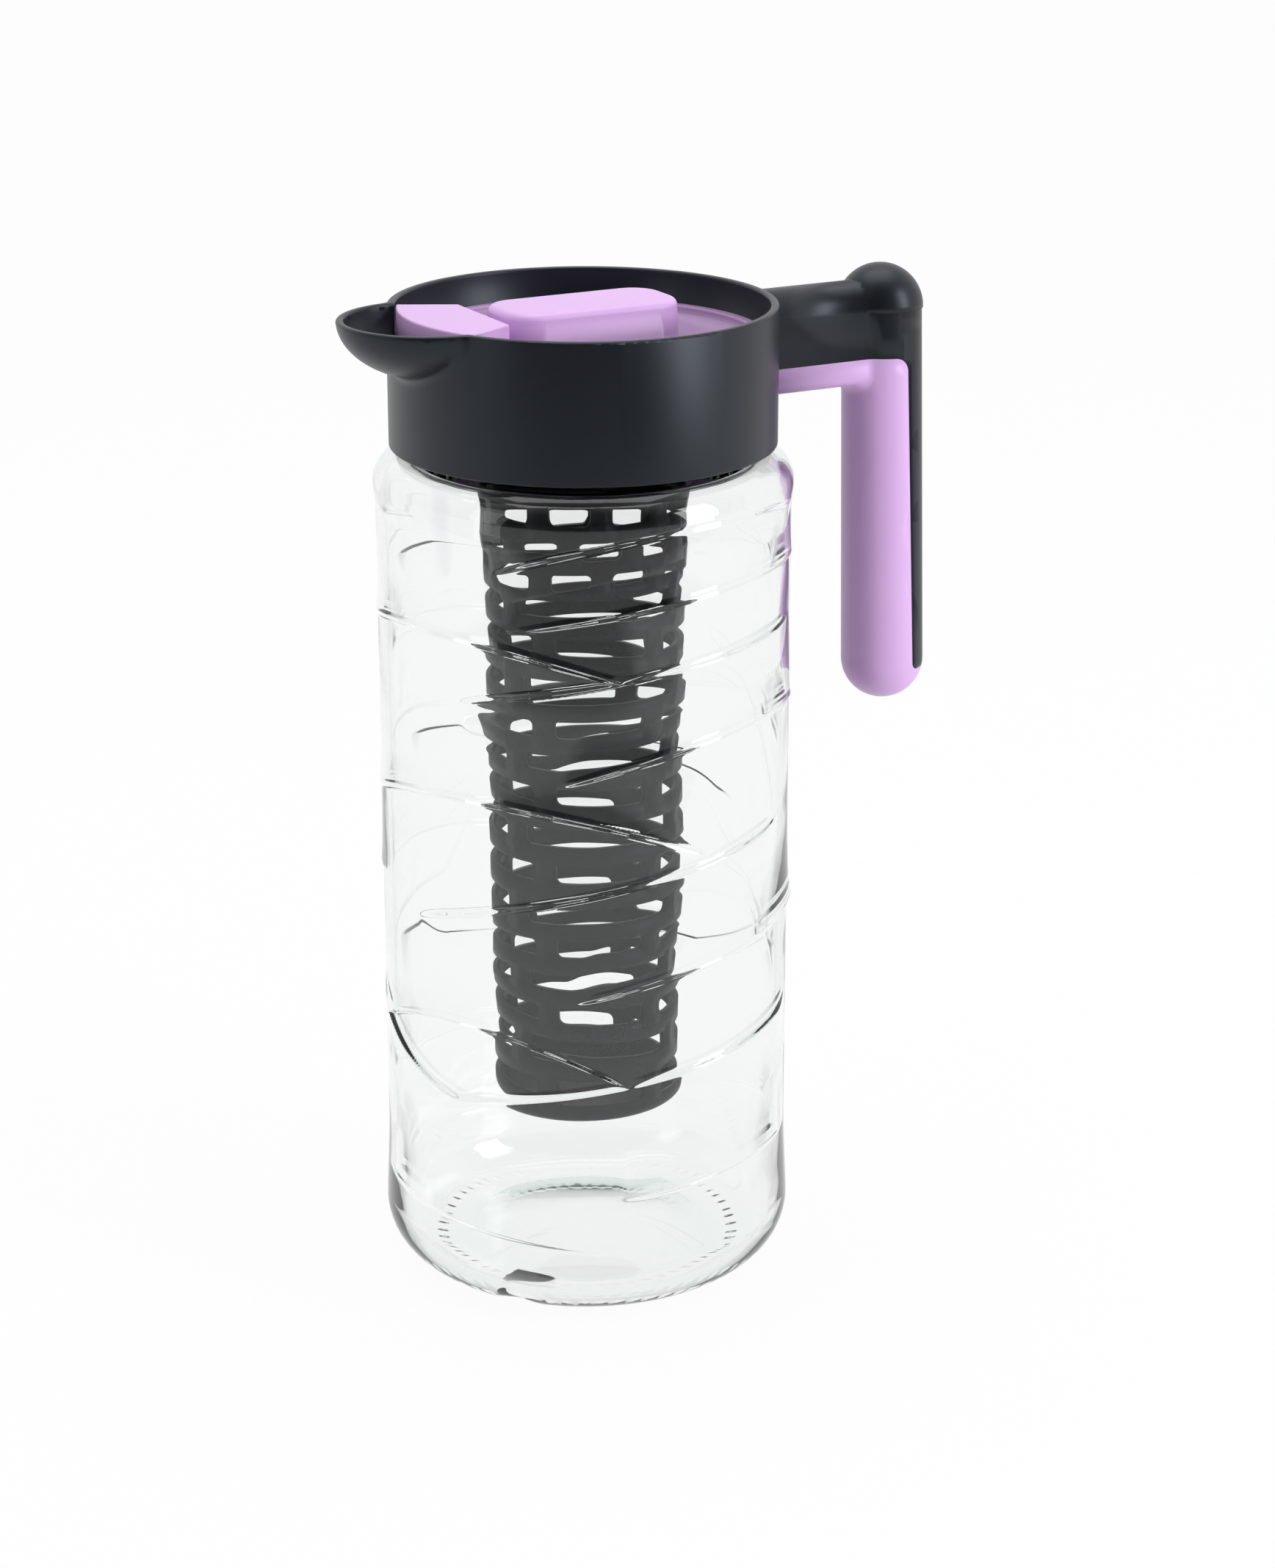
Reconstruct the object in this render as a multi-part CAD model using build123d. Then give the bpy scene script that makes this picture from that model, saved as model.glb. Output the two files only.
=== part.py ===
"""Fruit infuser pitcher: glass jar, twist-on pouring collar with handle, turning lid, hanging basket."""
import math
import os

from build123d import *

# Driving sizes in millimetres. The origin is the middle of the foot, on the table.
# +Z is up, +X points to the handle and -X to the spout.

# Glass jar
JAR_R = 55.6
JAR_H = 243.5
JAR_WALL = 3.5
HEEL_R = 17.0
FOOT_W = 5.0
BASE_T = 4.0
PUNT_H = 3.5
FLOOR_RISE = 2.5
SHOULDER_R = 10.4
NECK_H = 15.5
NECK_INSET = 10.6
NECK_WALL = 3.5
MOUTH_ROUND = 0.8
NECK_INNER_ROUND = 2.5

# Twist lock between jar and collar
LUG_COUNT = 4
LUG_ARC = 40.0
LUG_T = 3.0
LUG_PROUD = 2.2
LUG_DROP = 5.5
LUG_AXIAL_GAP = 0.4
LUG_RADIAL_GAP = 0.6

# Neck gasket
GASKET_T = 2.0
GASKET_MARGIN = 1.0

# Pouring collar
COLLAR_WALL = 2.2
COLLAR_GAP = 1.3
SKIRT_GAP = 0.6
LEDGE_T = 2.0
LEDGE_OVERHANG = 2.0
CUP_DEPTH = 17.7
RIM_ROUND = 0.7
SKIRT_ROUND = 0.5

# Spout, the lower half of a flattened ball
SPOUT_INSET = 7.6
SPOUT_PROUD = 16.5
SPOUT_DEPTH = 15.3
SPOUT_WALL = 2.0
SPOUT_BLEND = 3.5

# Handle: an arm out of the collar and a hanging grip
GRIP_REACH = 39.7
GRIP_TOP_R = 10.85
GRIP_FOOT_R = 11.35
GRIP_L = 110.1
GRIP_LEAN = 1.4
DOME_R = 11.7
DOME_BACK = 0.6
ARM_W = 15.4
ARM_DROP = 9.2
ARM_H = 19.8
ARM_EDGE_ROUND = 3.0
ARM_HOLLOW_ROUND = 1.0
ARM_BLEND = 4.0
HANDLE_WALL = 2.0
PART_DROP = 12.5
PART_BACK = 2.0
PART_SLANT = 3.8
PART_CORNER_R = 4.0
SPINE_LIFT = 9.6
SPINE_CORNER_R = 2.0

# Lid
LID_GAP = 0.4
LID_WALL = 2.0
LID_PLATE_DROP = 10.2
LIP_W = 3.0
LIP_H = 2.0
LIP_ROUND = 0.7
BAR_L = 50.6
BAR_W = 24.6
BAR_CORNER_R = 9.0
BAR_TOP_ROUND = 2.0
BAR_PROUD = 0.5
BAR_TAPER = 3.0
TONGUE_HALF_ANGLE = 27.5
TONGUE_BAR_GAP = 3.0
TONGUE_DROP = 0.4
TONGUE_ROUND = 0.5
POUR_SLOTS = 5
POUR_SLOT_ARC = 8.0
POUR_SLOT_PITCH = 11.0
POUR_SLOT_MARGIN = 1.0
SOCKET_WALL = 2.0
SOCKET_H = 8.8

# Infuser basket
BASKET_TOP_R = 27.0
BASKET_FOOT_R = 25.0
BASKET_L = 205.7
BASKET_WALL = 2.2
BASKET_HEEL_R = 4.0
BASKET_NECK_H = 22.7
SOCKET_GAP = 0.3
BEAD_PROUD = 0.6
BEAD_H = 2.0
BEAD_DROP = 4.0
SLOT_H = 5.3
SLOT_ROUND = 1.6
SLOT_TURN = 72.5
SLOT_PITCH = 10.25
SLOT_FIRST_H = 8.8
WIDE_ROWS = 14
SHORT_ARC = 56.0
WEB_ARC = 13.0
NARROW_ROWS = 3
NARROW_SLOTS = 10
NARROW_ARC = 24.0
NARROW_PITCH = 9.2

# Sizes and heights that follow from how the pieces stack and nest
NECK_R = JAR_R - NECK_INSET
MOUTH_R = NECK_R - NECK_WALL
SHOULDER_TOP_Z = JAR_H - NECK_H
LUG_TOP_Z = JAR_H - LUG_DROP
LEDGE_Z = JAR_H + GASKET_T
SEAT_Z = LEDGE_Z + LEDGE_T
RIM_Z = SEAT_Z + CUP_DEPTH
LEDGE_BORE_R = MOUTH_R - LEDGE_OVERHANG
CUP_R = NECK_R + LUG_PROUD + COLLAR_GAP
COLLAR_R = CUP_R + COLLAR_WALL
COLLAR_FOOT_Z = SHOULDER_TOP_Z + SKIRT_GAP
GRIP_X = COLLAR_R + GRIP_REACH
ARM_AXIS_Z = RIM_Z - ARM_DROP
ARM_BOTTOM_Z = ARM_AXIS_Z - ARM_H
PART_Z = ARM_AXIS_Z - PART_DROP
GRIP_FOOT_Z = ARM_AXIS_Z - GRIP_L
LID_R = CUP_R - LID_GAP
PLATE_TOP_Z = RIM_Z - LID_PLATE_DROP
PLATE_LOW_Z = PLATE_TOP_Z - LID_WALL
SOCKET_R = BASKET_TOP_R + SOCKET_GAP
BASKET_TOP_Z = PLATE_LOW_Z - SOCKET_GAP
BASKET_FOOT_Z = BASKET_TOP_Z - BASKET_L
BEAD_TOP_Z = PLATE_LOW_Z - BEAD_DROP
LONG_ARC = 180 - SHORT_ARC - 2 * WEB_ARC
FAR = 4 * JAR_H
NEAR = 0.01


def revolved(lines):
    """Solid of revolution about Z from a closed outline of radius and height."""
    return revolve(Plane.XZ * make_face(Curve() + lines), Axis.Z)


def tube(outer_r, inner_r, low_z, high_z):
    """Plain ring about Z."""
    ring = Circle(outer_r) - Circle(inner_r)
    return extrude(Pos(0, 0, low_z) * ring, high_z - low_z)


def arc_block(outer_r, inner_r, low_z, high_z, middle_angle, arc):
    """Piece of a ring about Z, spread evenly about one direction."""
    section = Pos((outer_r + inner_r) / 2, (low_z + high_z) / 2) * Rectangle(outer_r - inner_r, high_z - low_z)
    return Rot(0, 0, middle_angle - arc / 2) * revolve(Plane.XZ * section, Axis.Z, arc)


def half_space_below(z):
    return Pos(0, 0, z - FAR) * Box(2 * FAR, 2 * FAR, 2 * FAR)


def build_jar():
    """Moulded bottle with a domed base, round heel, small shoulder and a lugged neck."""
    heel_x = JAR_R - HEEL_R
    foot_x = heel_x - FOOT_W
    inner_r = JAR_R - JAR_WALL
    inner_heel_r = HEEL_R - JAR_WALL
    inner_heel_z = BASE_T + inner_heel_r
    shoulder_x = JAR_R - SHOULDER_R
    shoulder_z = SHOULDER_TOP_Z - SHOULDER_R
    inner_shoulder_r = SHOULDER_R - JAR_WALL
    inner_shoulder_z = shoulder_z + inner_shoulder_r
    edge_x = MOUTH_R + NECK_INNER_ROUND
    edge_z = inner_shoulder_z + NECK_INNER_ROUND
    lip_z = JAR_H - MOUTH_ROUND
    outside = [
        TangentArc((0, PUNT_H), (foot_x, 0), tangent=(1, 0)),
        Line((foot_x, 0), (heel_x, 0)),
        CenterArc((heel_x, HEEL_R), HEEL_R, -90, 90),
        Line((JAR_R, HEEL_R), (JAR_R, shoulder_z)),
        CenterArc((shoulder_x, shoulder_z), SHOULDER_R, 0, 90),
        Line((shoulder_x, SHOULDER_TOP_Z), (NECK_R, SHOULDER_TOP_Z)),
        Line((NECK_R, SHOULDER_TOP_Z), (NECK_R, lip_z)),
        CenterArc((NECK_R - MOUTH_ROUND, lip_z), MOUTH_ROUND, 0, 90),
        Line((NECK_R - MOUTH_ROUND, JAR_H), (MOUTH_R + MOUTH_ROUND, JAR_H)),
    ]
    inside = [
        CenterArc((MOUTH_R + MOUTH_ROUND, lip_z), MOUTH_ROUND, 90, 90),
        Line((MOUTH_R, lip_z), (MOUTH_R, edge_z)),
        CenterArc((edge_x, edge_z), NECK_INNER_ROUND, 180, 90),
        Line((edge_x, inner_shoulder_z), (shoulder_x, inner_shoulder_z)),
        CenterArc((shoulder_x, shoulder_z), inner_shoulder_r, 90, -90),
        Line((inner_r, shoulder_z), (inner_r, inner_heel_z)),
        CenterArc((heel_x, inner_heel_z), inner_heel_r, 0, -90),
        TangentArc((0, BASE_T + FLOOR_RISE), (heel_x, BASE_T), tangent=(1, 0)),
        Line((0, BASE_T + FLOOR_RISE), (0, PUNT_H)),
    ]
    jar = revolved(outside + inside)
    for index in range(LUG_COUNT):
        angle = 360 / LUG_COUNT * index
        jar += arc_block(NECK_R + LUG_PROUD, NECK_R - NECK_WALL / 2, LUG_TOP_Z - LUG_T, LUG_TOP_Z, angle, LUG_ARC)
    return jar


def build_gasket():
    """Flat silicone ring between the jar's mouth and the collar's ledge."""
    return tube(NECK_R + GASKET_MARGIN, MOUTH_R - GASKET_MARGIN, JAR_H, LEDGE_Z)


def arm_body(half, low_z, edge_round, start_x):
    """Arm with a round top and softened lower edges, from start_x to the grip's axis."""
    flank = Pos(0, (ARM_AXIS_Z + low_z) / 2) * Rectangle(2 * half, ARM_AXIS_Z - low_z)
    flank = fillet(flank.vertices().group_by(Axis.Y)[0], edge_round)
    section = flank + Pos(0, ARM_AXIS_Z) * Circle(half)
    return extrude(Plane.YZ.offset(start_x) * section, GRIP_X - start_x)


def grip_body(inset):
    """Slightly tapered, leaning stem with a ball at each end."""
    top_r = GRIP_TOP_R - inset
    foot_r = GRIP_FOOT_R - inset
    drop = GRIP_L - GRIP_FOOT_R
    stem = Pos(0, 0, -drop / 2) * Cone(foot_r, top_r, drop)
    grip = stem + Sphere(top_r) + Pos(0, 0, -drop) * Sphere(foot_r)
    return Pos(GRIP_X, 0, ARM_AXIS_Z) * Rot(0, -GRIP_LEAN, 0) * grip


def dome_cap():
    """Half ball on top of the grip, wider than the stem under it."""
    return Pos(GRIP_X - DOME_BACK, 0, ARM_AXIS_Z) * Sphere(DOME_R) - half_space_below(ARM_AXIS_Z)


def handle_shell():
    """Hollow arm and grip as one skin, before it is parted into its two mouldings."""
    start_x = COLLAR_R - COLLAR_WALL / 2
    outside = arm_body(ARM_W / 2, ARM_BOTTOM_Z, ARM_EDGE_ROUND, start_x) + grip_body(0)
    corner = [
        edge
        for edge in outside.edges()
        if start_x + NEAR < edge.bounding_box().min.X
        and edge.bounding_box().max.X < GRIP_X - NEAR
        and edge.bounding_box().max.Z < ARM_AXIS_Z + NEAR
    ]
    outside = fillet(corner, ARM_BLEND) + dome_cap()
    hollow = arm_body(ARM_W / 2 - HANDLE_WALL, ARM_BOTTOM_Z + HANDLE_WALL, ARM_HOLLOW_ROUND, COLLAR_R)
    return outside - hollow - grip_body(HANDLE_WALL)


def grip_zone():
    """Side outline of the coloured grip: under the arm, in front of the spine and round its foot."""
    split_x = GRIP_X + PART_BACK
    spine_foot_z = GRIP_FOOT_Z + SPINE_LIFT
    outline = Polyline(
        (0, PART_Z),
        (split_x, PART_Z),
        (split_x + PART_SLANT, spine_foot_z),
        (FAR, spine_foot_z),
        (FAR, 0),
        (0, 0),
        close=True,
    )
    zone = make_face(outline)
    top_corner = zone.vertices().sort_by_distance((split_x, PART_Z))[0]
    zone = fillet(top_corner, PART_CORNER_R)
    foot_corner = zone.vertices().sort_by_distance((split_x + PART_SLANT, spine_foot_z))[0]
    zone = fillet(foot_corner, SPINE_CORNER_R)
    return extrude(Plane.XZ * zone, 2 * GRIP_FOOT_R, both=True)


def build_handle():
    """Black arm with its spine, and the coloured grip that closes it from below and in front."""
    shell = handle_shell()
    zone = grip_zone()
    black = shell - zone
    ring = Rot(0, 0, 180) * Cylinder(COLLAR_R, 2 * FAR)
    grip = (shell & zone) - ring
    return black, grip


def spout_bowl(inset):
    """Flattened ball at the rim's height: the spout's outside, or its inside when inset by the wall."""
    reach = SPOUT_PROUD + SPOUT_INSET - inset
    depth = SPOUT_DEPTH - inset
    outline = [
        EllipticalCenterArc((0, 0), reach, depth, -90, arc_size=180),
        Line((0, depth), (0, -depth)),
    ]
    return Pos(SPOUT_INSET - COLLAR_R, 0, RIM_Z) * revolved(outline)


def spout_edges(solid, radius):
    """Edges under the rim where the spout's bowl meets a wall of the given radius."""
    return [
        edge
        for edge in solid.edges()
        if edge.center().X < -radius / 2
        and SEAT_Z + NEAR < edge.center().Z < RIM_Z - NEAR
        and all(abs(math.hypot((edge @ u).X, (edge @ u).Y) - radius) < NEAR for u in (0.2, 0.5, 0.8))
    ]


def build_collar(black_handle):
    """Ring with an inner ledge, a scooped spout, inward lugs and the black half of the handle."""
    blank = revolved([
        Polyline(
            (CUP_R, COLLAR_FOOT_Z),
            (COLLAR_R, COLLAR_FOOT_Z),
            (COLLAR_R, RIM_Z),
            (LEDGE_BORE_R, RIM_Z),
            (LEDGE_BORE_R, LEDGE_Z),
            (CUP_R, LEDGE_Z),
            close=True,
        )
    ])
    collar = blank + (spout_bowl(0) & half_space_below(RIM_Z))
    collar = fillet(spout_edges(collar, COLLAR_R), SPOUT_BLEND)
    cup = Pos(0, 0, SEAT_Z + FAR / 2) * Cylinder(CUP_R, FAR)
    collar -= cup + spout_bowl(SPOUT_WALL)
    rim = [edge for edge in collar.edges() if edge.bounding_box().min.Z > RIM_Z - NEAR]
    collar = fillet(rim + spout_edges(collar, CUP_R), RIM_ROUND)
    skirt = [edge for edge in collar.edges() if edge.bounding_box().max.Z < COLLAR_FOOT_Z + NEAR]
    collar = fillet(skirt, SKIRT_ROUND)
    low_z = LUG_TOP_Z - 2 * LUG_T - LUG_AXIAL_GAP
    for index in range(LUG_COUNT):
        angle = 360 / LUG_COUNT * index
        collar += arc_block(CUP_R + COLLAR_WALL / 2, NECK_R + LUG_RADIAL_GAP, low_z, low_z + LUG_T, angle, LUG_ARC)
    return collar + black_handle


def tongue_block(inset):
    """Raised sector that stands in the spout's mouth; inset by the wall it is the hollow under it."""
    top_z = RIM_Z - TONGUE_DROP - inset
    block = arc_block(LID_R - inset, LID_WALL, PLATE_LOW_Z, top_z, 180, 2 * TONGUE_HALF_ANGLE)
    side_shift = inset / math.sin(math.radians(TONGUE_HALF_ANGLE))
    if inset:
        block = Pos(-side_shift, 0, 0) * block & Cylinder(LID_R - inset, 2 * FAR)
    back = -BAR_L / 2 - TONGUE_BAR_GAP - inset
    return block & Pos(back - FAR, 0, 0) * Box(2 * FAR, 2 * FAR, 2 * FAR)


def bar_block(inset):
    """Grip bar across the lid; inset by the wall it is the hollow under it."""
    outline = RectangleRounded(BAR_L - 2 * inset, BAR_W - 2 * inset, BAR_CORNER_R - inset)
    height = RIM_Z + BAR_PROUD - inset - PLATE_LOW_Z
    return extrude(Pos(0, 0, PLATE_LOW_Z) * outline, height, taper=BAR_TAPER)


def build_lid():
    """Stopper lid: dished plate, skirt with pouring slots, grip bar, spout tongue and basket socket."""
    plate = revolved([
        Polyline(
            (0, PLATE_LOW_Z),
            (LID_R - LID_WALL, PLATE_LOW_Z),
            (LID_R - LID_WALL, SEAT_Z),
            (LID_R, SEAT_Z),
            (LID_R, PLATE_TOP_Z + LIP_H),
            (LID_R - LIP_W, PLATE_TOP_Z + LIP_H),
            (LID_R - LIP_W, PLATE_TOP_Z),
            (0, PLATE_TOP_Z),
            close=True,
        )
    ])
    lip = [edge for edge in plate.edges() if edge.bounding_box().min.Z > PLATE_TOP_Z + LIP_H - NEAR]
    plate = fillet(lip, LIP_ROUND)
    bar = bar_block(0)
    bar = fillet(bar.faces().sort_by(Axis.Z)[-1].edges(), BAR_TOP_ROUND)
    tongue = tongue_block(0)
    tongue = fillet(tongue.faces().sort_by(Axis.Z)[-1].edges(), TONGUE_ROUND)
    lid = plate + bar + tongue
    lid -= bar_block(LID_WALL)
    lid -= tongue_block(LID_WALL)

    socket = tube(SOCKET_R + SOCKET_WALL, SOCKET_R, PLATE_LOW_Z - SOCKET_H, PLATE_LOW_Z)
    groove_low = BEAD_TOP_Z - BEAD_H - SOCKET_GAP
    socket -= tube(SOCKET_R + BEAD_PROUD, BASKET_TOP_R, groove_low, BEAD_TOP_Z + SOCKET_GAP)
    lid += socket

    slot_low = SEAT_Z + POUR_SLOT_MARGIN
    slot_high = PLATE_LOW_Z - POUR_SLOT_MARGIN
    for index in range(POUR_SLOTS):
        angle = (index - (POUR_SLOTS - 1) / 2) * POUR_SLOT_PITCH
        lid -= arc_block(LID_R + LID_GAP, LID_R - 2 * LID_WALL, slot_low, slot_high, angle, POUR_SLOT_ARC)
    return lid


def slot_cutter(arc, z, angle):
    """Window with rounded corners, wide enough to pass right through the basket's wall."""
    outer_r = BASKET_TOP_R + BASKET_WALL
    inner_r = BASKET_FOOT_R - 2 * BASKET_WALL
    window = arc_block(outer_r, inner_r, z - SLOT_H / 2, z + SLOT_H / 2, angle, arc)
    corners = window.edges().filter_by(GeomType.LINE).filter_by(Axis.Z, reverse=True)
    return fillet(corners, SLOT_ROUND)


def build_basket():
    """Tapered tube with a closed foot, rows of slots turned by a quarter and a snap bead at its mouth."""
    neck_z = BASKET_TOP_Z - BASKET_NECK_H
    first_z = BASKET_FOOT_Z + SLOT_FIRST_H
    heel_x = BASKET_FOOT_R - BASKET_HEEL_R
    heel_z = BASKET_FOOT_Z + BASKET_HEEL_R
    inner_top_r = BASKET_TOP_R - BASKET_WALL
    inner_foot_r = BASKET_FOOT_R - BASKET_WALL
    floor_z = BASKET_FOOT_Z + BASKET_WALL
    basket = revolved([
        Line((0, BASKET_FOOT_Z), (heel_x, BASKET_FOOT_Z)),
        CenterArc((heel_x, heel_z), BASKET_HEEL_R, -90, 90),
        Polyline(
            (BASKET_FOOT_R, heel_z),
            (BASKET_TOP_R, neck_z),
            (BASKET_TOP_R, BASKET_TOP_Z),
            (inner_top_r, BASKET_TOP_Z),
            (inner_top_r, neck_z),
            (inner_foot_r, heel_z),
            (inner_foot_r, floor_z),
            (0, floor_z),
            (0, BASKET_FOOT_Z),
        ),
    ])
    basket += tube(BASKET_TOP_R + BEAD_PROUD, inner_top_r + BASKET_WALL / 2, BEAD_TOP_Z - BEAD_H, BEAD_TOP_Z)
    cutters = []
    for row in range(WIDE_ROWS):
        z = first_z + row * SLOT_PITCH
        turn = SLOT_TURN + 90 * (row % 2)
        for side in (0, 180):
            cutters.append(slot_cutter(SHORT_ARC, z, turn + side))
            cutters.append(slot_cutter(LONG_ARC, z, turn + side + 90))
    for row in range(NARROW_ROWS):
        z = first_z + (WIDE_ROWS - 1) * SLOT_PITCH + (row + 1) * NARROW_PITCH
        step = 360 / NARROW_SLOTS
        start = SLOT_TURN if row % 2 else SLOT_TURN + step / 2
        for index in range(NARROW_SLOTS):
            cutters.append(slot_cutter(NARROW_ARC, z, start + index * step))
    return basket - cutters


black_handle, handle_grip = build_handle()
PIECES = {
    "glass_jar": build_jar(),
    "neck_gasket": build_gasket(),
    "collar": build_collar(black_handle),
    "handle_grip": handle_grip,
    "lid": build_lid(),
    "infuser_basket": build_basket(),
}

os.makedirs("parts", exist_ok=True)
for name, piece in PIECES.items():
    export_step(piece, f"parts/{name}.step")
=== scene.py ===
"""Looks of the fruit infuser pitcher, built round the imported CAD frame. Lengths are in metres."""

import math

import bpy
import numpy as np
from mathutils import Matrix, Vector


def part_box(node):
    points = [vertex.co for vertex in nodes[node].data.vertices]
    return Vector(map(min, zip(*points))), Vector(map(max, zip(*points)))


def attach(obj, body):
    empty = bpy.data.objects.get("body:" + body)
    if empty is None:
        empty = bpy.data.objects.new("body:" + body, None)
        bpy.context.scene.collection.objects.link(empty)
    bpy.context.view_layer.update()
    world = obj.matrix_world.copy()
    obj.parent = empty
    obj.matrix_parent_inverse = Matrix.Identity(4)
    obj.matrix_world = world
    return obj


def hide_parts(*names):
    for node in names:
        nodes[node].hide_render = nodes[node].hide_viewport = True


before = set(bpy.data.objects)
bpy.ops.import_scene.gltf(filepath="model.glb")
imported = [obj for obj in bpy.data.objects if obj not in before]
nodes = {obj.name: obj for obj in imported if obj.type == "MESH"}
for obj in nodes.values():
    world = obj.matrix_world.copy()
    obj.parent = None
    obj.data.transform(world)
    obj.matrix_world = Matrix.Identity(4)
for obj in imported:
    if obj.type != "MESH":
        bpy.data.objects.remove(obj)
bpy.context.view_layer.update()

MM = 0.001

# Camera, as the photograph was taken: angles in degrees, round the object's own axes
VIEW_AZIMUTH = -28.0
VIEW_ELEVATION = 18.594
VIEW_DISTANCE = 1000.4 * MM
VIEW_TARGET = Vector((12.46, -6.63, 134.29)) * MM
VIEW_LENS = 85.44
LONG_SIDE_SENSOR = 36.0

# Studio: how bright the camera's side of the room is in reflections, and over which stretch of sky (as a
# share of the sphere) and floor (metres behind the object) it turns white
ROOM_LIGHT = 0.08
SKY_FADE = (-0.6, 0.3)
FLOOR_FADE = (-0.82, -0.62)
FLOOR_HALF = 20.0
FLOOR_DROP = 0.2 * MM
FLOOR_WHITE = 0.95
FLOOR_PALE = (0.8, 0.8, 0.8)
WORLD_LIGHT = 0.65

# Softboxes: name, place, width and height in metres, and power in watts
LAMP_AIM = (0, 0, 0.2)
LAMPS = [
    ("top", (0.1, 0.2, 1.5), (1.2, 1.0), 8),
    ("left", (-1.3, -0.2, 0.6), (0.4, 1.2), 2),
    ("right", (1.0, -1.2, 0.7), (0.5, 1.2), 15),
]

# Glass jar
jar_low, jar_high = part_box("glass_jar")
JAR_R = jar_high.y
JAR_H = jar_high.z
JAR_WALL = 3.5 * MM
HEEL_R = 17.0 * MM
FOOT_W = 5.0 * MM
BASE_T = 4.0 * MM
PUNT_H = 3.5 * MM
FLOOR_RISE = 2.5 * MM
SHOULDER_R = 10.4 * MM
NECK_H = 15.5 * MM
NECK_INSET = 10.6 * MM
NECK_WALL = 3.5 * MM
MOUTH_ROUND = 0.8 * MM
NECK_INNER_ROUND = 2.5 * MM
JAR_STEPS = 360
WALL_ROW = 0.36 * MM
PUNT_STEPS = 24
HEEL_STEPS = 30
SHOULDER_STEPS = 24
MOUTH_STEPS = 4
INNER_FLOOR_STEPS = 19
INNER_HEEL_STEPS = 16
INNER_WALL_STEPS = 39
INNER_SHOULDER_STEPS = 10
INNER_NECK_STEPS = 6

# Swirl relief: its depth, reach of a line's steep and soft sides (millimetres) and of its ends (degrees), and
# how the back repeats the front: turned (degrees), lifted (millimetres) and at a share of the depth
RELIEF = 1.1 * MM
RIDGE_STEEP = 1.0
RIDGE_SOFT = 9.0
RIDGE_FADE = 14.0
BACK_TURN = 180
BACK_LIFT = 9.0
BACK_SHARE = 0.6

# Notch in the heel and the knurled ring that the jar stands on
NOTCH_ANGLE = -140.0
NOTCH_HALF_W = 6.8 * MM
NOTCH_H = 5.0 * MM
NOTCH_START_R = 35.0 * MM
NOTCH_END_R = 46.0 * MM
KNURL_COUNT = 60
KNURL_H = 0.25 * MM
KNURL_LOW_R = 39.5 * MM
KNURL_HIGH_R = 43.5 * MM

# Clear glass: what its body lets through and how fast it takes the rest, and the ripple of its surface
GLASS_IOR = 1.5
GLASS_BODY = (0.76, 0.83, 0.81)
GLASS_DENSITY = 60.0
RIPPLE_SCALE = 55
RIPPLE_STRENGTH = 0.12
RIPPLE_DEPTH = 1.0 * MM

# Plastics: patches, grain, softened edges and sheen, then the two tones of each, and the heights between
# which painted shade darkens the lid's colour downward, for its recess, with the share of colour kept below
CLOUD_SCALE = 40
GRAIN_SCALE = 2500
GRAIN_DEPTH = 0.1 * MM
EDGE_SOFT = 0.35 * MM
WELD_GAP = 0.002 * MM
BLUE_SHEEN = (0.78, 0.87, 1.0)
BLACK = ((0.004, 0.005, 0.007), (0.006, 0.0075, 0.0105))
LILAC = ((0.64, 0.39, 0.74), (0.68, 0.43, 0.78))
BASKET_GREY = ((0.004, 0.0043, 0.005), (0.006, 0.0063, 0.0075))
SILICONE = ((0.7, 0.7, 0.69), (0.8, 0.8, 0.79))
SHADE_FADE = (257.5 * MM, 262.0 * MM)
SHADE_SHARE = 0.62

# Moulded lines of the glass: three points of each as angle from the camera's side (degrees) and
# height (millimetres), and the side on which the glass stands high, 1 above the line and -1 below
SEEN_FROM = -117.15
RIDGES = [
    ((-14, 209), (16, 215), (68, 216), -1),
    ((-14, 193), (25, 199), (74, 202), 1),
    ((-25, 173), (14, 179), (64, 184), -1),
    ((1, 154), (28, 160), (76, 163), 1),
    ((-41, 112), (1, 121), (56, 130), -1),
    ((6, 95), (32, 100), (87, 105), 1),
    ((-38, 61), (-4, 66), (67, 76), -1),
    ((-73, 75), (-55, 66), (-38, 61), -1),
    ((-75, 187), (-41, 189), (7, 180), 1),
    ((-76, 140), (-32, 146), (27, 134), 1),
    ((-73, 76), (-35, 84), (10, 70), 1),
    ((20, 38), (44, 40), (68, 41), 1),
    ((-67, 29), (-20, 25), (64, 15), 1),
]


def ridge_height(angle, z, ridge, turn, lift):
    """Height of one moulded line: steep on one side, fading slowly on the other and at its ends."""
    points = np.array(ridge[:3])
    middle = (points[0, 0] + points[2, 0]) / 2
    half_span = (points[2, 0] - points[0, 0]) / 2
    curve = np.polyfit(points[:, 0] - middle, points[:, 1] + lift, 2)
    along = (angle - SEEN_FROM - turn - middle + 180) % 360 - 180
    ends = np.clip((half_span + RIDGE_FADE - np.abs(along)) / RIDGE_FADE, 0, 1)
    off = ridge[3] * (z / MM - np.polyval(curve, along))
    soft = np.exp(-np.clip(off, 0, None) / RIDGE_SOFT)
    steep = np.exp(-(np.clip(off, None, 0) / RIDGE_STEEP) ** 2)
    return np.where(off > 0, soft, steep) * ends**2 * (3 - 2 * ends)


def relief(angle, z):
    """Swirl relief of the wall between 0 and 1; the back carries the same lines, half a turn on."""
    height = np.zeros_like(z)
    for ridge in RIDGES:
        height = np.maximum(height, ridge_height(angle, z, ridge, 0, 0))
        height = np.maximum(height, BACK_SHARE * ridge_height(angle, z, ridge, BACK_TURN, BACK_LIFT))
    return height


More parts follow.
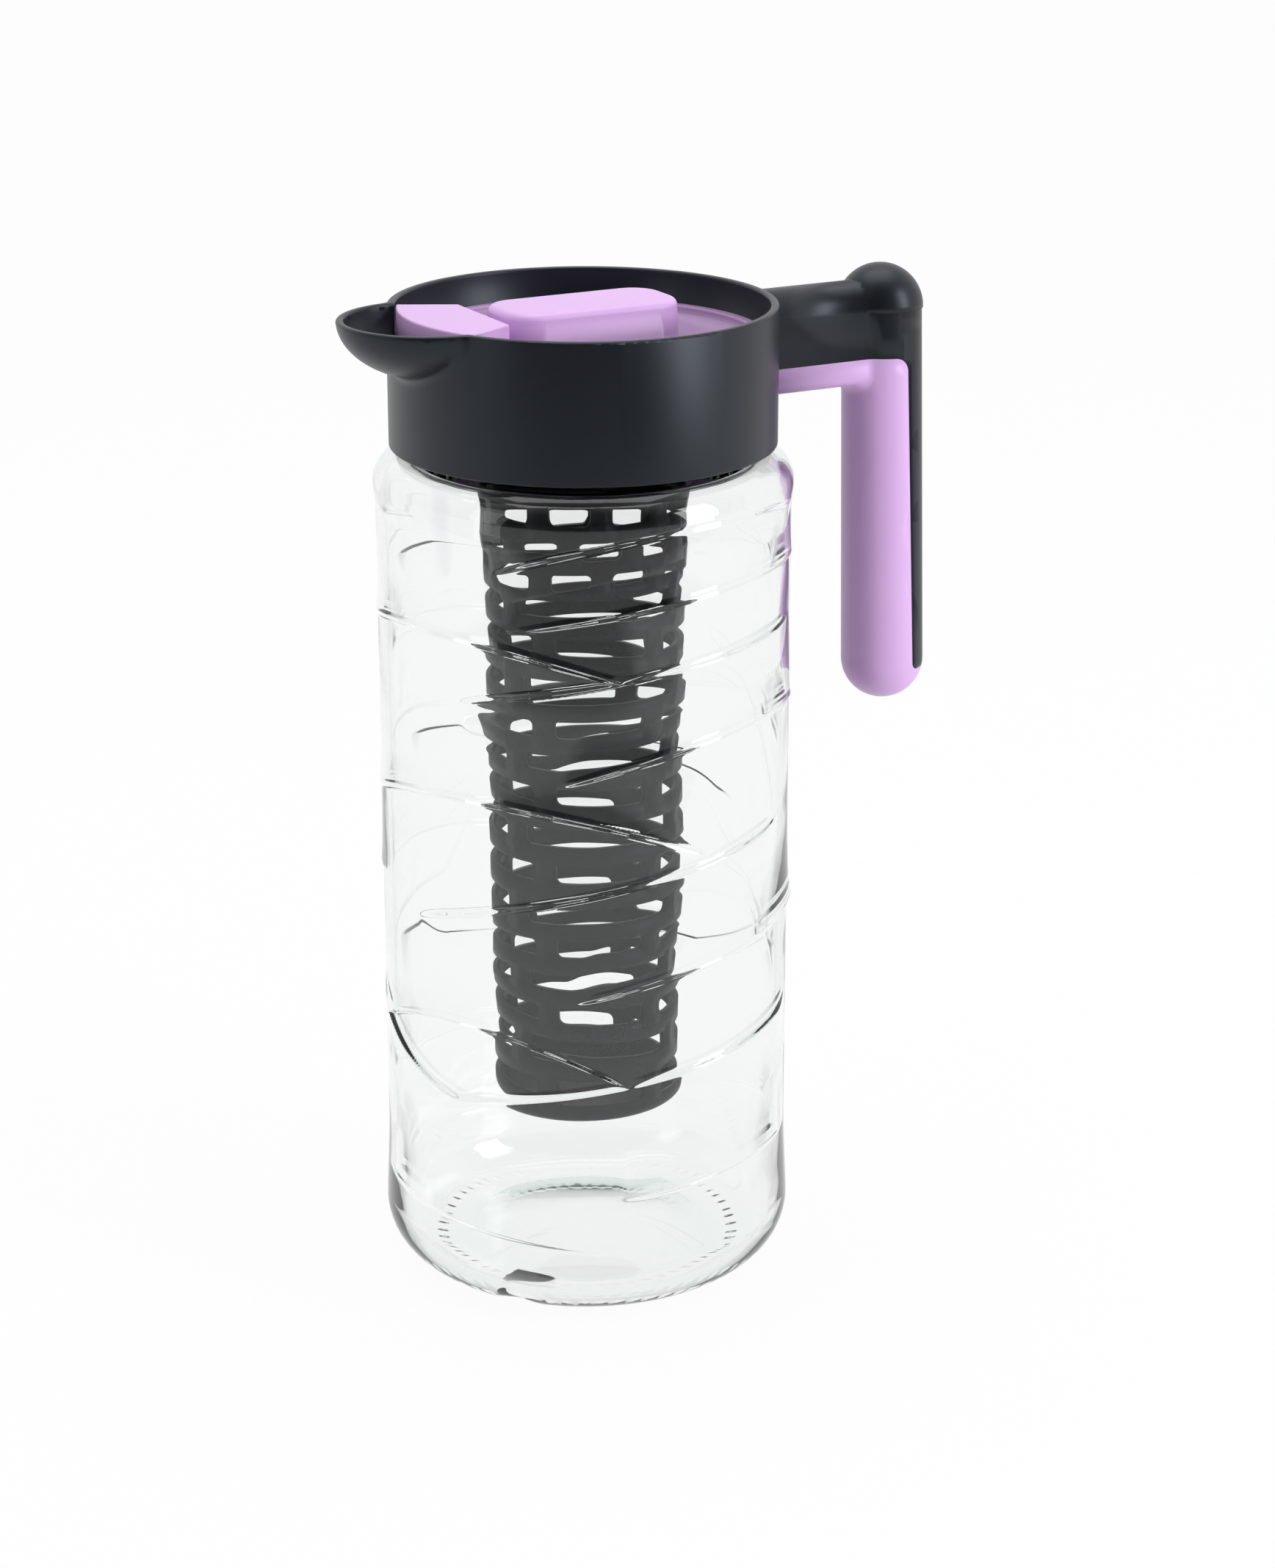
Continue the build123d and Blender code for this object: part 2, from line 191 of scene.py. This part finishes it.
def wall_inset(angle, z):
    """Depth of the wall's surface under its highest lines, running out into the heel and the shoulder."""
    heel_fade = np.clip((z - HEEL_R / 2) / (2 * HEEL_R), 0, 1)
    shoulder_fade = np.clip((JAR_H - NECK_H - SHOULDER_R / 2 - z) / SHOULDER_R, 0, 1)
    fade = heel_fade * shoulder_fade
    return RELIEF * (1 - relief(angle, z)) * fade**2 * (3 - 2 * fade)


def arc(centre, radius, start, end, steps):
    """Points of an arc in radius and height, without its first point."""
    angles = np.radians(np.linspace(start, end, steps + 1)[1:])
    return [(centre[0] + radius * math.cos(a), centre[1] + radius * math.sin(a)) for a in angles]


def jar_outside():
    """Outer outline of the jar in radius and height, from the middle of its base to its mouth."""
    heel_x = JAR_R - HEEL_R
    foot_x = heel_x - FOOT_W
    shoulder_z = JAR_H - NECK_H - SHOULDER_R
    neck_r = JAR_R - NECK_INSET
    points = [(foot_x * u, PUNT_H * (1 - u**2)) for u in np.linspace(0, 1, PUNT_STEPS + 1)]
    points += [(foot_x + FOOT_W * u, 0.0) for u in (0.5, 1.0)]
    points += arc((heel_x, HEEL_R), HEEL_R, -90, 0, HEEL_STEPS)
    rows = round((shoulder_z - HEEL_R) / WALL_ROW)
    points += [(JAR_R, HEEL_R + (shoulder_z - HEEL_R) * (i + 1) / rows) for i in range(rows)]
    points += arc((JAR_R - SHOULDER_R, shoulder_z), SHOULDER_R, 0, 90, SHOULDER_STEPS)
    points += [(neck_r, JAR_H - NECK_H), (neck_r, JAR_H - MOUTH_ROUND)]
    points += arc((neck_r - MOUTH_ROUND, JAR_H - MOUTH_ROUND), MOUTH_ROUND, 0, 90, MOUTH_STEPS)
    return points


def jar_inside():
    """Inner outline of the jar, from its mouth down to the middle of its floor."""
    heel_x = JAR_R - HEEL_R
    inner_heel_r = HEEL_R - JAR_WALL
    shoulder_x = JAR_R - SHOULDER_R
    shoulder_z = JAR_H - NECK_H - SHOULDER_R
    inner_shoulder_r = SHOULDER_R - JAR_WALL
    mouth_r = JAR_R - NECK_INSET - NECK_WALL
    edge_z = shoulder_z + inner_shoulder_r + NECK_INNER_ROUND
    floor_z = BASE_T + inner_heel_r
    points = [(mouth_r + MOUTH_ROUND, JAR_H)]
    points += arc((mouth_r + MOUTH_ROUND, JAR_H - MOUTH_ROUND), MOUTH_ROUND, 90, 180, MOUTH_STEPS)
    points += [(mouth_r, edge_z)]
    points += arc((mouth_r + NECK_INNER_ROUND, edge_z), NECK_INNER_ROUND, 180, 270, INNER_NECK_STEPS)
    points += arc((shoulder_x, shoulder_z), inner_shoulder_r, 90, 0, INNER_SHOULDER_STEPS)
    heights = np.linspace(shoulder_z, floor_z, INNER_WALL_STEPS + 1)[1:]
    points += [(JAR_R - JAR_WALL, z) for z in heights]
    points += arc((heel_x, floor_z), inner_heel_r, 0, -90, INNER_HEEL_STEPS)
    shares = np.linspace(1, 0, INNER_FLOOR_STEPS + 1)[1:]
    points += [(heel_x * u, BASE_T + FLOOR_RISE * (1 - u**2)) for u in shares]
    return points


def revolved_mesh(name, points, steps, shape):
    """Closed mesh turned from an outline that starts and ends on the axis; shape moves its points."""
    ring = np.array(points[1:-1])
    angles = np.linspace(0, 2 * math.pi, steps, endpoint=False)
    a, r = np.meshgrid(angles, ring[:, 0])
    z = np.repeat(ring[:, 1:2], steps, axis=1)
    r, z = shape(np.degrees(a), r, z)
    rings = np.stack([r * np.cos(a), r * np.sin(a), z], axis=-1).reshape(-1, 3)
    verts = [(0, 0, points[0][1])] + rings.tolist() + [(0, 0, points[-1][1])]
    faces = []
    for row in range(len(ring) - 1):
        for i in range(steps):
            j = (i + 1) % steps
            low = 1 + row * steps
            faces.append((low + i, low + j, low + steps + j, low + steps + i))
    last = len(verts) - 1
    top = 1 + (len(ring) - 1) * steps
    for i in range(steps):
        j = (i + 1) % steps
        faces.append((0, 1 + j, 1 + i))
        faces.append((last, top + i, top + j))
    mesh = bpy.data.meshes.new(name)
    mesh.from_pydata(verts, [], faces)
    mesh.shade_smooth()
    piece = bpy.data.objects.new(name, mesh)
    bpy.context.scene.collection.objects.link(piece)
    return piece


def base_height(angle, r, z):
    """Height of the jar's underside with its knurled ring and the notch in its heel."""
    tooth = np.sin(np.radians(angle) * KNURL_COUNT) > 0
    knurl = tooth & (r > KNURL_LOW_R) & (r < KNURL_HIGH_R)
    aside = r * np.radians((angle - NOTCH_ANGLE + 180) % 360 - 180)
    arch = np.sqrt(np.clip(1 - (aside / NOTCH_HALF_W) ** 2, 0, 1))
    slope = np.clip((r - NOTCH_START_R) / (NOTCH_END_R - NOTCH_START_R), 0, 1)
    return np.maximum(z + KNURL_H * knurl, NOTCH_H * arch * slope)


def build_glass():
    """The jar with its moulded swirl lines, which stand up to the CAD wall and no further."""
    outside = jar_outside()

    def shape(angle, r, z):
        outer = np.arange(len(r))[:, None] < len(outside) - 1
        wall = outer & (r > JAR_R - HEEL_R / 2)
        under = outer & (z < NOTCH_H) & (r > NOTCH_START_R)
        return np.where(wall, r - wall_inset(angle, z), r), np.where(under, base_height(angle, r, z), z)

    glass = revolved_mesh("swirl_glass", outside + jar_inside(), JAR_STEPS, shape)
    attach(glass, "jar")
    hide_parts("glass_jar")
    return glass


def new_material(name):
    """Material with its shader and node tree."""
    material = bpy.data.materials.new(name)
    material.use_nodes = True
    return material, material.node_tree, material.node_tree.nodes["Principled BSDF"]


def link(tree, out, into):
    """Joins an output to an input."""
    tree.links.new(out, into)


def plastic(name, tones, roughness, bump, grain=GRAIN_SCALE, specular=0.5, sheen=(1, 1, 1)):
    """Moulded plastic: patches of two close tones, with a fine grain in its surface."""
    material, tree, shader = new_material(name)
    place = tree.nodes.new("ShaderNodeTexCoord")
    cloud = tree.nodes.new("ShaderNodeTexNoise")
    cloud.inputs["Scale"].default_value = CLOUD_SCALE
    mix = tree.nodes.new("ShaderNodeMix")
    mix.data_type = "RGBA"
    mix.inputs["A"].default_value = (*tones[0], 1)
    mix.inputs["B"].default_value = (*tones[1], 1)
    fine = tree.nodes.new("ShaderNodeTexNoise")
    fine.inputs["Scale"].default_value = grain
    relief_node = tree.nodes.new("ShaderNodeBump")
    relief_node.inputs["Strength"].default_value = bump
    relief_node.inputs["Distance"].default_value = GRAIN_DEPTH
    rounded = tree.nodes.new("ShaderNodeBevel")
    rounded.inputs["Radius"].default_value = EDGE_SOFT
    link(tree, place.outputs["Object"], cloud.inputs["Vector"])
    link(tree, place.outputs["Object"], fine.inputs["Vector"])
    link(tree, cloud.outputs["Fac"], mix.inputs["Factor"])
    link(tree, mix.outputs["Result"], shader.inputs["Base Color"])
    link(tree, fine.outputs["Fac"], relief_node.inputs["Height"])
    link(tree, rounded.outputs["Normal"], relief_node.inputs["Normal"])
    link(tree, relief_node.outputs["Normal"], shader.inputs["Normal"])
    shader.inputs["Roughness"].default_value = roughness
    shader.inputs["Specular IOR Level"].default_value = specular
    shader.inputs["Specular Tint"].default_value = (*sheen, 1)
    return material


def paint_shade_below(material, low, high, share):
    """Painted shade: only a share of the colour is left below a height, so the low parts are darker."""
    tree = material.node_tree
    colour = tree.nodes["Principled BSDF"].inputs["Base Color"]
    full = colour.links[0].from_socket
    place = tree.nodes.new("ShaderNodeTexCoord")
    split = tree.nodes.new("ShaderNodeSeparateXYZ")
    link(tree, place.outputs["Object"], split.inputs["Vector"])
    painted_shade = tree.nodes.new("ShaderNodeMapRange")
    painted_shade.inputs["From Min"].default_value = low
    painted_shade.inputs["From Max"].default_value = high
    painted_shade.inputs["To Min"].default_value = share
    link(tree, split.outputs["Z"], painted_shade.inputs["Value"])
    scaled = tree.nodes.new("ShaderNodeVectorMath")
    scaled.operation = "SCALE"
    link(tree, full, scaled.inputs[0])
    link(tree, painted_shade.outputs["Result"], scaled.inputs["Scale"])
    link(tree, scaled.outputs["Vector"], colour)


def glass_material():
    """Clear soda glass with a faint grey-green body."""
    material, tree, shader = new_material("clear_glass")
    shader.inputs["Base Color"].default_value = (1, 1, 1, 1)
    shader.inputs["Roughness"].default_value = 0.0
    shader.inputs["IOR"].default_value = GLASS_IOR
    shader.inputs["Transmission Weight"].default_value = 1.0
    body = tree.nodes.new("ShaderNodeVolumeAbsorption")
    body.inputs["Color"].default_value = (*GLASS_BODY, 1)
    body.inputs["Density"].default_value = GLASS_DENSITY
    link(tree, body.outputs["Volume"], tree.nodes["Material Output"].inputs["Volume"])
    place = tree.nodes.new("ShaderNodeTexCoord")
    ripple = tree.nodes.new("ShaderNodeTexNoise")
    ripple.inputs["Scale"].default_value = RIPPLE_SCALE
    ripple.inputs["Detail"].default_value = 1
    bump = tree.nodes.new("ShaderNodeBump")
    bump.inputs["Strength"].default_value = RIPPLE_STRENGTH
    bump.inputs["Distance"].default_value = RIPPLE_DEPTH
    link(tree, place.outputs["Object"], ripple.inputs["Vector"])
    link(tree, ripple.outputs["Fac"], bump.inputs["Height"])
    link(tree, bump.outputs["Normal"], shader.inputs["Normal"])
    return material


def dress(node, material):
    """Gives a CAD node its finish, with its split faces welded and smoothly shaded."""
    piece = nodes[node]
    piece.data.materials.clear()
    piece.data.materials.append(material)
    piece.data.shade_smooth()
    weld = piece.modifiers.new("weld", "WELD")
    weld.merge_threshold = WELD_GAP


def add_scaled(tree, value, scale, base):
    """Node output of value * scale + base, where base is a number or another output."""
    node = tree.nodes.new("ShaderNodeMath")
    node.operation = "MULTIPLY_ADD"
    link(tree, value, node.inputs[0])
    node.inputs[1].default_value = scale
    if isinstance(base, float):
        node.inputs[2].default_value = base
    else:
        link(tree, base, node.inputs[2])
    return node.outputs[0]


def behind(tree, place, low, high):
    """Runs from 0 on the camera's side to 1 behind the object, between two distances along the view."""
    azimuth = math.radians(VIEW_AZIMUTH)
    along = tree.nodes.new("ShaderNodeVectorMath")
    along.operation = "DOT_PRODUCT"
    along.inputs[1].default_value = (-math.sin(azimuth), math.cos(azimuth), 0)
    link(tree, place, along.inputs[0])
    fade = tree.nodes.new("ShaderNodeMapRange")
    fade.inputs["From Min"].default_value = low
    fade.inputs["From Max"].default_value = high
    link(tree, along.outputs["Value"], fade.inputs["Value"])
    return fade.outputs["Result"]


def room_brightness(tree, path, fade):
    """White where seen straight or through glass, and dimmer on the camera's side in reflections."""
    seen = tree.nodes.new("ShaderNodeMix")
    link(tree, path.outputs["Glossy Depth"], seen.inputs["Factor"])
    seen.inputs["A"].default_value = 1.0
    seen.inputs["B"].default_value = ROOM_LIGHT
    mix = tree.nodes.new("ShaderNodeMix")
    link(tree, fade, mix.inputs["Factor"])
    link(tree, seen.outputs["Result"], mix.inputs["A"])
    mix.inputs["B"].default_value = 1.0
    return mix.outputs["Result"]


def build_floor():
    """Wide pale floor that stays white to the camera and keeps a soft shadow."""
    mesh = bpy.data.meshes.new("floor")
    corners = [(-1, -1), (1, -1), (1, 1), (-1, 1)]
    mesh.from_pydata([(x * FLOOR_HALF, y * FLOOR_HALF, -FLOOR_DROP) for x, y in corners], [], [(0, 1, 2, 3)])
    floor = bpy.data.objects.new("floor", mesh)
    bpy.context.scene.collection.objects.link(floor)
    material, tree, shader = new_material("pale_floor")
    shader.inputs["Base Color"].default_value = (*FLOOR_PALE, 1)
    shader.inputs["Roughness"].default_value = 1.0
    shader.inputs["Specular IOR Level"].default_value = 0.0
    place = tree.nodes.new("ShaderNodeNewGeometry")
    path = tree.nodes.new("ShaderNodeLightPath")
    fade = behind(tree, place.outputs["Position"], *FLOOR_FADE)
    glow = tree.nodes.new("ShaderNodeEmission")
    link(tree, room_brightness(tree, path, fade), glow.inputs["Strength"])
    seen = add_scaled(tree, path.outputs["Is Glossy Ray"], FLOOR_WHITE, 0.0)
    seen = add_scaled(tree, path.outputs["Is Camera Ray"], FLOOR_WHITE, seen)
    mix = tree.nodes.new("ShaderNodeMixShader")
    link(tree, seen, mix.inputs[0])
    link(tree, shader.outputs[0], mix.inputs[1])
    link(tree, glow.outputs[0], mix.inputs[2])
    link(tree, mix.outputs[0], tree.nodes["Material Output"].inputs["Surface"])
    mesh.materials.append(material)


def build_world():
    """White backdrop behind the object, fading to a dimmer room on the camera's side."""
    world = bpy.data.worlds.new("studio")
    bpy.context.scene.world = world
    world.use_nodes = True
    tree = world.node_tree
    lit = tree.nodes["Background"]
    lit.inputs["Color"].default_value = (1, 1, 1, 1)
    lit.inputs["Strength"].default_value = WORLD_LIGHT
    shown = tree.nodes.new("ShaderNodeBackground")
    shown.inputs["Color"].default_value = (1, 1, 1, 1)
    place = tree.nodes.new("ShaderNodeTexCoord")
    path = tree.nodes.new("ShaderNodeLightPath")
    fade = behind(tree, place.outputs["Generated"], *SKY_FADE)
    link(tree, room_brightness(tree, path, fade), shown.inputs["Strength"])
    seen = add_scaled(tree, path.outputs["Is Glossy Ray"], 1.0, path.outputs["Is Camera Ray"])
    seen = add_scaled(tree, path.outputs["Is Transmission Ray"], 1.0, seen)
    mix = tree.nodes.new("ShaderNodeMixShader")
    link(tree, seen, mix.inputs[0])
    link(tree, lit.outputs[0], mix.inputs[1])
    link(tree, shown.outputs[0], mix.inputs[2])
    link(tree, mix.outputs[0], tree.nodes["World Output"].inputs["Surface"])


def softbox(name, place, aim, size, power):
    """Studio lamp, so wide and so high, turned to a point."""
    lamp = bpy.data.lights.new(name, "AREA")
    lamp.shape = "RECTANGLE"
    lamp.size = size[0]
    lamp.size_y = size[1]
    lamp.energy = power
    holder = bpy.data.objects.new(name, lamp)
    holder.location = place
    holder.rotation_mode = "QUATERNION"
    holder.rotation_quaternion = (Vector(aim) - Vector(place)).to_track_quat("-Z", "Y")
    bpy.context.scene.collection.objects.link(holder)


def build_camera():
    """Camera at the place from which the photograph was taken."""
    data = bpy.data.cameras.new("photo_camera")
    data.lens = VIEW_LENS
    data.sensor_width = LONG_SIDE_SENSOR
    camera = bpy.data.objects.new("photo_camera", data)
    azimuth = math.radians(VIEW_AZIMUTH)
    elevation = math.radians(VIEW_ELEVATION)
    back = Vector((
        math.sin(azimuth) * math.cos(elevation),
        -math.cos(azimuth) * math.cos(elevation),
        math.sin(elevation),
    ))
    camera.location = VIEW_TARGET + VIEW_DISTANCE * back
    camera.rotation_mode = "QUATERNION"
    camera.rotation_quaternion = (-back).to_track_quat("-Z", "Y")
    bpy.context.scene.collection.objects.link(camera)
    bpy.context.scene.camera = camera


glass = build_glass()
glass.data.materials.append(glass_material())
black = plastic("black_polypropylene", BLACK, 0.38, 0.06, specular=0.42, sheen=BLUE_SHEEN)
lilac = plastic("lilac_polypropylene", LILAC, 0.4, 0.05)
shaded_lid_lilac = plastic("lilac_lid_painted_shade", LILAC, 0.4, 0.05)
# Painted shade on the lid: its colour darkens below a height, standing in for the shade in the recess round
# its plate and on its faces by the spout
paint_shade_below(shaded_lid_lilac, *SHADE_FADE, SHADE_SHARE)
basket = plastic("grey_polypropylene", BASKET_GREY, 0.4, 0.02, specular=0.1, sheen=BLUE_SHEEN)
silicone = plastic("clear_silicone", SILICONE, 0.5, 0.05, grain=1200)
dress("collar", black)
dress("handle_grip", lilac)
dress("lid", shaded_lid_lilac)
dress("infuser_basket", basket)
dress("neck_gasket", silicone)

build_floor()
build_world()
for lamp_name, lamp_place, lamp_size, lamp_power in LAMPS:
    softbox(lamp_name, lamp_place, LAMP_AIM, lamp_size, lamp_power)
build_camera()
bpy.context.scene.view_settings.view_transform = "Standard"
